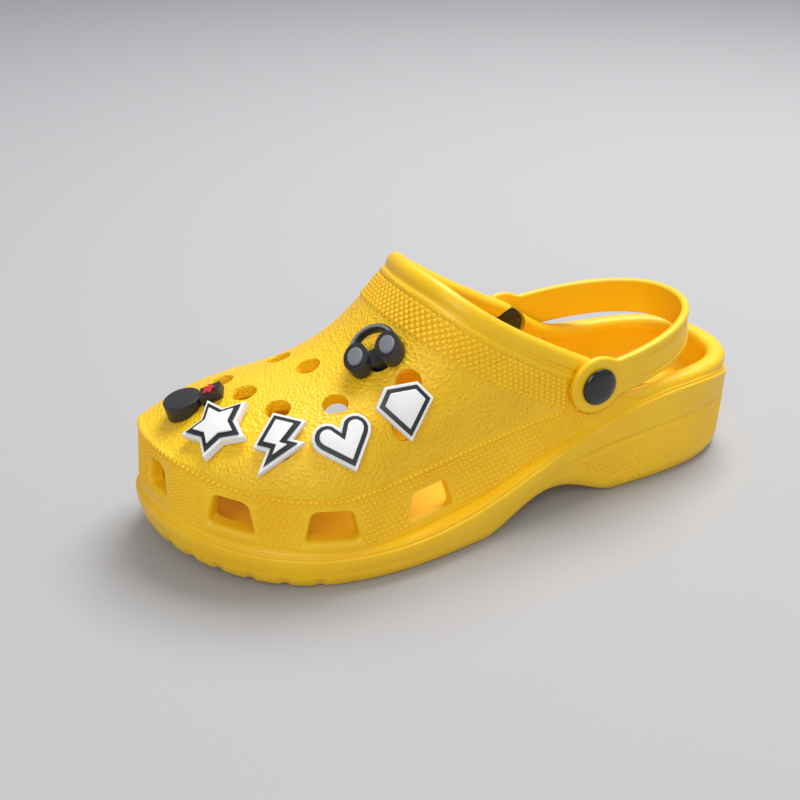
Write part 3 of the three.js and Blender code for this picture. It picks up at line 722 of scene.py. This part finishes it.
def hole_tubes():
    made = []
    angle = np.arange(40) / 40 * 2 * np.pi
    for x, y in HOLES:
        point, out = vamp_place(x, y)
        side = np.cross(out, (0, 1, 0))
        side /= np.linalg.norm(side)
        ahead = np.cross(out, side)
        circle = np.cos(angle)[:, None] * side + np.sin(angle)[:, None] * ahead
        rows = []
        for depth, grow in EDGE_ROUNDING + [(5, 0.0), (9, 0.0)]:
            rim = point + circle * (HOLE_RADIUS + 0.45 * grow)
            top = np.array([(vamp.ray_cast(Vector(p + 20 * out), Vector(-out))[0]) for p in rim])
            rows.append(top - out * depth)
        made.append(np.array(rows))
    return made


worked(clog_body, tubes("holes", hole_tubes()), "DIFFERENCE")


def rod_along_y(radius, start, end, count=64):
    angle = np.arange(count) / count * 2 * np.pi
    return np.array([np.c_[PIVOT[0] + radius * np.cos(angle), np.full(count, float(y)),
                           PIVOT[2] + radius * np.sin(angle)] for y in (start, end)])


def box_tube(low, high):
    (x0, y0, z0), (x1, y1, z1) = low, high
    square = [(x0, z0), (x1, z0), (x1, z1), (x0, z1)]
    return np.array([[(x, y, z) for x, z in square] for y in (y0, y1)], float)


worked(clog_body, tubes("strap_relief", [box_tube((-80, 36, 49.5), (-48, 56, 89.5)),
                                         box_tube((-80, -56, 49.5), (-48, -36, 89.5))]),
       "DIFFERENCE")
worked(clog_body, tubes("eye_seats", [rod_along_y(14, s * 38, s * 50) for s in (1, -1)]),
       "DIFFERENCE")
worked(clog_body, tubes("inner_seats", [rod_along_y(8.6, s * 33.8, s * 24.8) for s in (1, -1)]),
       "DIFFERENCE")
worked(clog_body, tubes("shaft_holes", [rod_along_y(4.3, s * 20, s * 60) for s in (1, -1)]),
       "DIFFERENCE")


def studs(name, centres, out, radius, height, segments=7, shape=((1, -0.25), (0.92, 0.35),
                                                               (0.55, 0.85))):
    """Small closed domes on a surface: each is rings of a radius and height, and a top point."""
    out = out / np.linalg.norm(out, axis=1)[:, None]
    side = np.cross(out, (0.31, 0.17, 0.93))
    side /= np.linalg.norm(side, axis=1)[:, None]
    ahead = np.cross(out, side)
    angle = np.arange(segments) / segments * 2 * np.pi
    circle = (np.cos(angle)[:, None] * side[:, None] + np.sin(angle)[:, None] * ahead[:, None])
    radius = np.broadcast_to(radius, len(centres))[:, None, None]
    height = np.broadcast_to(height, len(centres))[:, None, None]
    rows = [centres[:, None] + circle * radius * wide + out[:, None] * height * tall
            for wide, tall in shape]
    points = np.concatenate(rows + [centres[:, None] + out[:, None] * height], 1)
    each = points.shape[1]
    s = np.arange(segments)
    t = (s + 1) % segments
    quads = np.concatenate([np.stack([s, t, t + segments, s + segments], -1) + k * segments
                            for k in range(len(shape) - 1)])
    last = (len(shape) - 1) * segments
    caps = np.stack([s + last, t + last, np.full(segments, each - 1)], -1)
    starts = np.arange(len(centres)) * each
    faces = (quads[None] + starts[:, None, None]).reshape(-1, 4).tolist()
    faces += (caps[None] + starts[:, None, None]).reshape(-1, 3).tolist()
    faces += (s[::-1][None] + starts[:, None]).tolist()
    return make_piece(name, points.reshape(-1, 3), faces, yellow.material, smooth=80)


yellow = Paint("foamed_eva_yellow")


def paint_foam(paint):
    """Foamed EVA: saturated yellow, faintly uneven, with a fine moulded skin that is a pebbled
    leather grain where the grain mask is 1."""
    patches = paint.noise(38, 4)
    pebbles = paint.cells(820, "SMOOTH_F1")
    skin = paint.noise(2400, 2)
    grain = paint.mask("grain")
    colour = paint.blend(patches.between(0.3, 0.7), (0.92, 0.53, 0.004, 1), (0.97, 0.60, 0.008, 1))
    height = pebbles * (grain * 0.95 + 0.05) + skin * 0.12
    paint.finish({"Base Color": colour,
                  "Roughness": 0.33 + 0.12 * skin,
                  "Specular IOR Level": 0.45,
                  "Normal": paint.bump(height, 0.0007)})


paint_foam(yellow)

clog_body.data.materials.clear()
clog_body.data.materials.append(yellow.material)
clog_body.data.shade_smooth()
clog_body.data.set_sharp_from_angle(angle=np.radians(38))


def mark_grain(piece):
    """Writes the grain mask: 1 on the outside above the wall's top and below the collar's studs,
    and 0 on the smooth wall, rand and inside."""
    mesh = piece.data
    points = np.zeros(len(mesh.vertices) * 3)
    mesh.vertices.foreach_get("co", points)
    points = points.reshape(-1, 3) / MM
    above = np.clip((points[:, 2] - along(points[:, 0], WALL_TOP_Z) - 0.2) / 0.8, 0, 1)
    under_rim = np.clip((rim_z(points[:, 0]) - 13 - points[:, 2]) / 2 + 1, 0, 1)
    under_rim = np.where(points[:, 0] > 30, 1, under_rim)
    outer = np.clip(beyond(points) * 30 + 1.4, 0, 1)
    outer = np.where(points[:, 0] > TOE_PIVOT_X, 1, outer)
    values = (above * under_rim * outer).astype(np.float32)
    mesh.attributes.new("grain", "FLOAT", "POINT").data.foreach_set("value", values)


mark_grain(clog_body)
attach(clog_body, "clog")
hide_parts("sole_unit", "upper_shell")


def collar_studs():
    """Staggered rows at even distances below the second bead, along the outside."""
    centres = []
    for row in range(7):
        line = below_rim(12.9 + 1.72 * row)
        length = np.r_[0, np.cumsum(np.linalg.norm(np.diff(line, axis=0), axis=1))]
        middle = length[-1] / 2
        at = np.arange(-60, 60) * 3.25 + 1.625 * (row % 2) + middle
        at = at[(at > 0) & (at < length[-1])]
        points = np.stack([np.interp(at, length, column) for column in line.T], -1)
        centres.append(points[(points[:, 0] > -33)])
    centres = np.concatenate(centres)
    return centres, slope(centres)[1]


centres, out = collar_studs()
collar_band = studs("collar_studs", centres, out, 1.28, 0.75, segments=8)
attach(collar_band, "clog")


def wall_dots():
    """Staggered rows round the wall between the sills and its top, the top row larger."""
    total = girth[-1]
    centres, ways, sizes = [], [], []
    pitch = 2.5
    count = int(total / pitch)
    for row in range(11):
        distance = (np.arange(count) + 0.5 * (row % 2)) * total / count
        x = np.interp(distance, girth, fine_outline[:, 0])
        low, high = along(x, LEDGE_Z) + 2.4, along(x, WALL_TOP_Z) - 0.9
        z = high - row * 2.2
        kept = (z > low) & (x > -72)
        for vent_x, vent_y, bottom, width, _ in VENTS:
            middle = girth_at(vent_x, vent_y)
            rise = z - bottom - ledge_rise(distance, middle)
            kept &= ~((np.abs(distance - middle) < width / 2 + 1.5) & (rise > -4.6)
                      & (rise < VENT_HEIGHT + 1.6))
        points, out = on_wall(distance[kept], z[kept], np.zeros(kept.sum()))
        centres.append(flattened(points))
        ways.append(np.c_[out, np.full(len(out), 0.12)])
        sizes.append(np.full(len(out), 1.1 if row == 0 else 0.86))
    return np.concatenate(centres), np.concatenate(ways), np.concatenate(sizes)


centres, out, sizes = wall_dots()
dotted_wall = studs("wall_dots", centres, out, sizes * 1.08, sizes * 0.85, segments=6)
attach(dotted_wall, "clog")


def heel_dots():
    """Staggered rows round the heel's rand below its crease."""
    total = girth[-1]
    pitch = 3.0
    count = int(total / pitch)
    centres, ways = [], []
    for row in range(9):
        distance = (np.arange(count) + 0.5 * (row % 2)) * total / count
        x = np.interp(distance, girth, fine_outline[:, 0])
        z = along(x, CREASE_Z) - 2.6 - row * 2.5
        kept = (z > ground_z(x) + 4) & (x < -42)
        place = np.stack([np.interp(distance[kept], girth, column) for column in fine_outline.T], -1)
        out = np.stack([np.interp(distance[kept], girth, column) for column in fine_outward.T], -1)
        x, z = x[kept], z[kept]
        low, high = ground_z(x) + 7.8, along(x, LEDGE_Z) - 1.8
        share = (z - low) / (high - low)
        fade = np.clip((-28 - x) / 25, 0, 1)
        inset = np.where(share > 0, 0.9 * (1 - share)**2, 0.9 - share * 3) + 0.35 * fade
        centres.append(np.c_[place - out * inset[:, None], z])
        ways.append(np.c_[out, np.zeros(len(out))])
    return np.concatenate(centres), np.concatenate(ways)


centres, out = heel_dots()
dotted_heel = studs("heel_dots", centres, out, 0.95, 0.42, segments=6)
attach(dotted_heel, "clog")

# ---------------------------------------------------------------- heel strap
# A flat EVA strap that swings on the two rivets: a round eye at each end, a rolled lip along its
# top edge and a shallow oblong panel round its back.

STRAP = {"half_width": 41.4, "reach": 71.5, "fullness": 2 / 2.15, "half_height": 8.7,
         "thickness": 3.1, "eye": 13, "tilt": 7.3}


def strap_line(inset, count):
    """The strap's outer plan line from the tip of the outer eye to that of the inner one: a
    superellipse round the back with a straight stretch beside each eye."""
    angle = np.linspace(np.pi / 2, -np.pi / 2, 4000)
    reach, half = STRAP["reach"] - inset, STRAP["half_width"] - inset
    back = PIVOT[0] - reach * np.cos(angle).clip(0)**STRAP["fullness"]
    side = half * np.sign(angle) * np.abs(np.sin(angle))**STRAP["fullness"]
    ahead = PIVOT[0] + np.linspace(STRAP["eye"], 0.05, 60)
    line = np.r_[np.c_[ahead, np.full(60, half)], np.c_[back, side],
                 np.c_[ahead[::-1], np.full(60, -half)]]
    length = np.r_[0, np.cumsum(np.linalg.norm(np.diff(line, axis=0), axis=1))]
    ends = STRAP["eye"] * (1 - np.cos(np.linspace(0, np.pi / 2, 24)))
    at = np.r_[ends[:-1], np.linspace(ends[-1], length[-1] - ends[-1], count),
               (length[-1] - ends)[::-1][1:]]
    return np.stack([np.interp(at, length, column) for column in line.T], -1), at, length[-1]


def strap_section(at, total):
    """For each place along the strap, a closed (out, up) section: flat faces with rounded edges,
    a lip along the top, and a groove round the panel where the panel's outline passes."""
    eye, band_half, thick = STRAP["eye"], STRAP["half_height"], STRAP["thickness"]
    from_pivot = np.minimum(at, total - at) - eye
    disc = np.sqrt(np.maximum(eye**2 - from_pivot**2, 0.04))
    half = np.where(from_pivot < 0, disc, (disc**8 + band_half**8)**(1 / 8))
    v = np.linspace(-1, 1, 57)
    up = half[:, None] * v
    rounding = np.minimum(1.35, half * 0.5)[:, None]
    from_edge = np.maximum(np.abs(up) - (half[:, None] - rounding), 0) / rounding
    drop = rounding * (1 - np.sqrt(np.maximum(1 - from_edge**2, 0)))
    lip_share = np.clip((from_pivot - 11) / 9, 0, 1)[:, None]
    lip = 0.55 * lip_share / (1 + np.exp((band_half - 2.9 - up) * 5))
    start = 24
    beyond_end = np.maximum(start + 4.6 - from_pivot, 0)[:, None]
    radial = np.hypot(beyond_end, np.maximum(np.abs(up + 0.9) - 0.0, 0))
    gap = np.where(beyond_end > 0, radial, np.abs(up + 0.9)) - 4.6
    groove = 0.5 * np.exp(-(gap / 0.38)**2) + 0.18 / (1 + np.exp(gap * 6))
    face = thick / 2 - drop + lip - groove * (from_pivot > 5)[:, None]
    back = -(thick / 2 - drop)
    return np.concatenate([np.stack([face, up], -1), np.stack([back, up], -1)[:, ::-1]], 1)


line, at, total = strap_line(1.55, 300)
tangent = np.gradient(line, axis=0)
tangent /= np.linalg.norm(tangent, axis=1)[:, None]
out = np.c_[-tangent[:, 1], tangent[:, 0], np.zeros(len(tangent))]
out *= np.sign((out[:, :2] * (line - (PIVOT[0] - 20, 0))).sum())
strap = swept("heel_strap_band", np.c_[line, np.full(len(line), PIVOT[2])], out,
              np.broadcast_to((0.0, 0, 1), (len(line), 3)), strap_section(at, total),
              closed=False, material=yellow.material)
worked(strap, tubes("strap_holes", [rod_along_y(4.3, s * 30, s * 50) for s in (1, -1)]),
       "DIFFERENCE")
strap.data.transform(Matrix.Translation(PIVOT * MM) @ Matrix.Rotation(
    np.radians(STRAP["tilt"]), 4, "Y") @ Matrix.Translation(-PIVOT * MM))
strap.data.materials.clear()
strap.data.materials.append(yellow.material)
strap.data.shade_smooth()
strap.data.set_sharp_from_angle(angle=np.radians(50))
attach(strap, "strap")
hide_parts("heel_strap")

# ---------------------------------------------------------------- rivets
# Two black nylon snap rivets: a domed head with its pin outside each eye, and a flanged socket
# inside the clog whose tube carries the strap.

SEAT_Y, INNER_SEAT_Y = 41.7, 33.8
HEAD = [(0, 35.3), (1.9, 35.3), (2.4, 36), (2.4, 41.7), (7.7, 41.7), (8.15, 41.85), (8.3, 42.3),
        (8.1, 42.8), (7.3, 43.3), (6, 43.75), (4.2, 44.05), (2.2, 44.2), (0, 44.25)]
SOCKET = [(0, 31.5), (6.4, 31.5), (7.3, 31.75), (7.8, 32.4), (7.8, 33.3), (7.6, 33.5), (4, 33.5),
          (4, 41.3), (2.7, 41.3), (2.7, 34.8), (0, 34.8)]


def turned(name, profile, side, material):
    """A (radius, height) profile turned about the rivets' axis, its poles closed."""
    angle = np.arange(72) / 72 * 2 * np.pi
    inner = np.array(profile[1:-1])
    ring = np.c_[np.cos(angle), np.sin(angle)]
    points = np.concatenate([np.c_[PIVOT[0] + r * ring[:, 0], np.full(72, side * y),
                                   PIVOT[2] + r * ring[:, 1]] for r, y in inner])
    poles = [(PIVOT[0], side * profile[0][1], PIVOT[2]), (PIVOT[0], side * profile[-1][1], PIVOT[2])]
    rows = len(inner)
    r, s = np.meshgrid(np.arange(rows - 1), np.arange(72), indexing="ij")
    a, b = r * 72 + s, r * 72 + (s + 1) % 72
    faces = np.stack([a, b, b + 72, a + 72], -1).reshape(-1, 4).tolist()
    s = np.arange(72)
    faces += np.stack([(s + 1) % 72, s, np.full(72, rows * 72)], -1).tolist()
    faces += np.stack([s + (rows - 1) * 72, (s + 1) % 72 + (rows - 1) * 72,
                       np.full(72, rows * 72 + 1)], -1).tolist()
    return make_piece(name, np.r_[points, poles], faces, material, smooth=50)


nylon = Paint("black_nylon")
scuffs = nylon.noise(420, 4)
nylon.finish({"Base Color": nylon.blend(scuffs.between(0.4, 0.75), (0.008, 0.008, 0.009, 1),
                                        (0.014, 0.014, 0.015, 1)),
              "Roughness": 0.16 + 0.1 * scuffs, "Coat Weight": 0.25,
              "Normal": nylon.bump(nylon.noise(160, 2), 0.0002)})
for side_name, side in (("outer", 1), ("inner", -1)):
    for part, profile in (("head", HEAD), ("socket", SOCKET)):
        piece = turned(f"rivet_{part}_{side_name}", profile, side, nylon.material)
        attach(piece, "clog")
        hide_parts(f"rivet_{part}_{side_name}_side")

# ---------------------------------------------------------------- flat charms
# Four soft rubber badges in three layers: a thick white plate on a snap stem, a black inlay, and
# a raised white face. Each is cast in a mould, so its edges are round.


def rubber(name, light, dark, roughness):
    paint = Paint(name)
    cloud = paint.noise(300, 3)
    paint.finish({"Base Color": paint.blend(cloud, dark, light),
                  "Roughness": roughness + 0.12 * paint.noise(900, 2),
                  "Normal": paint.bump(paint.noise(1500, 3), 0.00012)})
    return paint.material


white_rubber = rubber("white_rubber", (0.86, 0.86, 0.84, 1), (0.78, 0.78, 0.77, 1), 0.38)
black_rubber = rubber("black_rubber", (0.022, 0.022, 0.024, 1), (0.014, 0.014, 0.016, 1), 0.36)
grey_rubber = rubber("grey_rubber", (0.20, 0.21, 0.23, 1), (0.15, 0.16, 0.18, 1), 0.4)
red_rubber = rubber("red_rubber", (0.62, 0.03, 0.03, 1), (0.52, 0.02, 0.02, 1), 0.4)


def cast_copy(node, name, rounding, material, body):
    """The CAD node's shape with its corners rounded, as a mould leaves them."""
    import bmesh
    shape = bmesh.new()
    shape.from_mesh(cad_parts[node].data)
    bmesh.ops.remove_doubles(shape, verts=shape.verts, dist=2e-6)
    bmesh.ops.dissolve_limit(shape, angle_limit=np.radians(1.5), verts=shape.verts,
                             edges=shape.edges)
    sharp = [e for e in shape.edges if len(e.link_faces) == 2
             and e.calc_face_angle(0) > np.radians(35)]
    bmesh.ops.bevel(shape, geom=sharp, offset=rounding * MM, segments=3, profile=0.5,
                    affect="EDGES", clamp_overlap=True)
    bmesh.ops.triangulate(shape, faces=[f for f in shape.faces if len(f.verts) > 4])
    mesh = bpy.data.meshes.new(name)
    shape.to_mesh(mesh)
    shape.free()
    mesh.shade_smooth()
    mesh.set_sharp_from_angle(angle=np.radians(40))
    mesh.materials.clear()
    mesh.materials.append(material)
    piece = bpy.data.objects.new(name, mesh)
    bpy.context.collection.objects.link(piece)
    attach(piece, body)
    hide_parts(node)
    return piece


for charm in ("star", "bolt", "heart", "gem"):
    for layer, rounding, material, slot in (("base", 0.5, white_rubber, "charm_white"),
                                            ("inlay", 0.18, black_rubber, "charm_black"),
                                            ("face", 0.3, white_rubber, "charm_white")):
        cast_copy(f"{charm}_charm_{layer}", f"{charm}_{layer}", rounding, material,
                  f"{charm}_charm")
for node, rounding, material, slot in (("body", 0.5, black_rubber, "charm_black"),
                                       ("pad_left", 0.3, grey_rubber, "charm_grey"),
                                       ("pad_right", 0.3, grey_rubber, "charm_grey"),
                                       ("yoke", 0.2, grey_rubber, "charm_grey")):
    cast_copy(f"headphone_charm_{node}", f"headphone_{node}", rounding, material,
              "headphone_charm")
for node, rounding, material, slot in (("body", 1.2, black_rubber, "charm_black"),
                                       ("tab", 0.5, black_rubber, "charm_black"),
                                       ("flower", 0.2, red_rubber, "charm_red")):
    cast_copy(f"puck_charm_{node}", f"puck_{node}", rounding, material, "puck_charm")

size = {"cad": [list(c) for c in cad_box], "visual": [list(c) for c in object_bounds()]}
